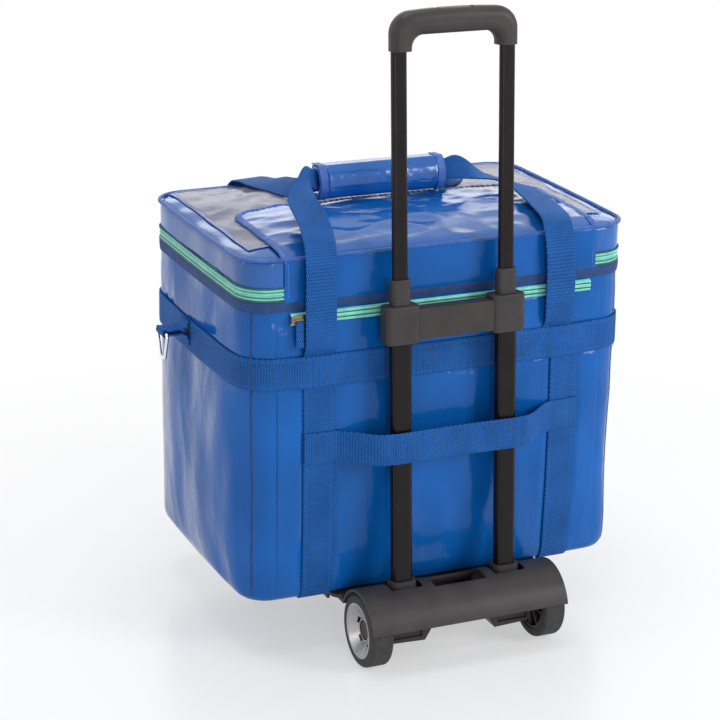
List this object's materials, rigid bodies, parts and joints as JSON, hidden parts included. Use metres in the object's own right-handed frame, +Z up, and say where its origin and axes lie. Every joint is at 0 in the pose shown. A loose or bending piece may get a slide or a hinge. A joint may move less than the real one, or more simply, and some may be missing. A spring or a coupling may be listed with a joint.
{
  "type": "insulated cooler bag with trolley",
  "caption": "Insulated zip-lid carry bag for medical samples, on a wheeled base with a telescopic pull handle behind it.",
  "frame": {"origin": "on the floor under the middle of the whole part, handle as pictured", "axes": "+X to the bag's right seen from behind, +Y towards the bag's front, +Z up"},
  "size_m": [0.577, 0.4451, 0.7655],
  "materials": {
    "coated_fabric": "glossy coated fabric, softly creased",
    "webbing": "ribbed webbing",
    "binding": "matte woven tape",
    "zip": "turquoise zip tape and coil",
    "clear_film": "clear flexible film",
    "foam": "closed cell foam",
    "lining": "pale smooth lining",
    "board": "stiff board",
    "trolley_plastic": "dark grey moulded plastic",
    "button_plastic": "grey plastic",
    "tube_metal": "dark anodised tube",
    "rubber": "black rubber",
    "tyre": "black tyre",
    "rim_silver": "silver dish",
    "steel": "bare steel",
    "ring_chrome": "bright plated wire",
    "slider_bronze": "dull bronze"
  },
  "bodies": {
    "bag": {"bag_shell": "coated_fabric", "body_insulation": "foam", "inner_liner": "lining", "base_board": "board", "rim_binding": "binding", "main_zip_lower": "zip", "rear_wall_panel": "coated_fabric", "rear_pocket_panel": "coated_fabric", "pocket_zip": "zip", "vertical_strap_left": "webbing", "vertical_strap_right": "webbing", "belt_webbing": "webbing", "trolley_strap": "webbing", "rear_strap_roots": "webbing", "front_strap_roots": "webbing", "side_tabs": "webbing", "wheel_housing": "trolley_plastic", "axle_carriers": "trolley_plastic", "axle": "steel", "axle_caps": "trolley_plastic", "support_platform": "trolley_plastic", "platform_feet": "trolley_plastic", "foot_pads": "rubber", "housing_screws": "steel", "outer_tubes": "tube_metal", "tube_bracket": "trolley_plastic"},
    "lid": {"lid_shell": "coated_fabric", "lid_insulation": "foam", "lid_liner": "lining", "lid_piping": "binding", "main_zip_upper": "zip", "lid_flap": "coated_fabric", "flap_binding": "binding", "document_pocket": "clear_film", "rear_carry_loop": "webbing", "carry_wrap": "coated_fabric"},
    "front_loop": {"front_carry_loop": "webbing"},
    "wheel_left": {"tyre_left": "tyre", "wheel_core_left": "trolley_plastic", "rim_cover_left": "rim_silver"},
    "wheel_right": {"tyre_right": "tyre", "wheel_core_right": "trolley_plastic", "rim_cover_right": "rim_silver"},
    "mid_tubes": {"middle_tubes": "tube_metal", "middle_collars": "trolley_plastic"},
    "handle": {"inner_tubes": "tube_metal", "inner_tube_plugs": "button_plastic", "trolley_handle": "trolley_plastic", "button_springs": "steel"},
    "button": {"release_button": "button_plastic", "button_yoke": "button_plastic"},
    "pocket_runner": {"pocket_slider": "slider_bronze", "pocket_pull": "webbing"},
    "zip_runner_left": {"main_slider_left": "slider_bronze", "main_pull_left": "webbing"},
    "zip_runner_right": {"main_slider_right": "slider_bronze", "main_pull_right": "webbing"},
    "ring_left": {"d_ring_left": "ring_chrome"},
    "ring_right": {"d_ring_right": "ring_chrome"}
  },
  "joints": [
    {"name": "lid_hinge", "type": "hinge", "parent": "bag", "child": "lid", "pos_m": [0, -0.1191, 0.49], "axis": [1, 0, 0], "range_deg": [0, 56]},
    {"name": "front_loop_fold", "type": "hinge", "parent": "bag", "child": "front_loop", "pos_m": [0, 0.2222, 0.389], "axis": [1, 0, 0], "range_deg": [-163, 0]},
    {"name": "left_wheel_spin", "type": "hinge", "parent": "bag", "child": "wheel_left", "pos_m": [-0.113, -0.1738, 0.044], "axis": [1, 0, 0], "continuous": true},
    {"name": "right_wheel_spin", "type": "hinge", "parent": "bag", "child": "wheel_right", "pos_m": [0.113, -0.1738, 0.044], "axis": [1, 0, 0], "continuous": true},
    {"name": "mid_tube_slide", "type": "slide", "parent": "bag", "child": "mid_tubes", "axis": [0, 0.061, 0.9981], "range_m": [0, 0.24]},
    {"name": "handle_slide", "type": "slide", "parent": "mid_tubes", "child": "handle", "axis": [0, 0.061, 0.9981], "range_m": [-0.245, 0]},
    {"name": "button_press", "type": "slide", "parent": "handle", "child": "button", "axis": [0, 0.061, 0.9981], "range_m": [-0.004, 0], "stiffness_N_per_m": 900, "springref_m": 0.001, "deforming": ["button_springs"]},
    {"name": "pocket_zip_slide", "type": "slide", "parent": "bag", "child": "pocket_runner", "axis": [1, 0, 0], "range_m": [0, 0.36]},
    {"name": "left_zip_slide", "type": "slide", "parent": "bag", "child": "zip_runner_left", "axis": [1, 0, 0], "range_m": [-0.178, 0]},
    {"name": "right_zip_slide", "type": "slide", "parent": "bag", "child": "zip_runner_right", "axis": [1, 0, 0], "range_m": [0, 0.178]},
    {"name": "left_ring_swing", "type": "hinge", "parent": "bag", "child": "ring_left", "pos_m": [-0.28398, 0.0602, 0.362], "axis": [0, 1, 0], "range_deg": [-30, 150]},
    {"name": "right_ring_swing", "type": "hinge", "parent": "bag", "child": "ring_right", "pos_m": [0.28398, 0.0602, 0.362], "axis": [0, 1, 0], "range_deg": [-150, 30]}
  ],
  "couplings": [
    {"joint": "front_loop_fold", "follows": "lid_hinge", "ratio": -2.9}
  ]
}
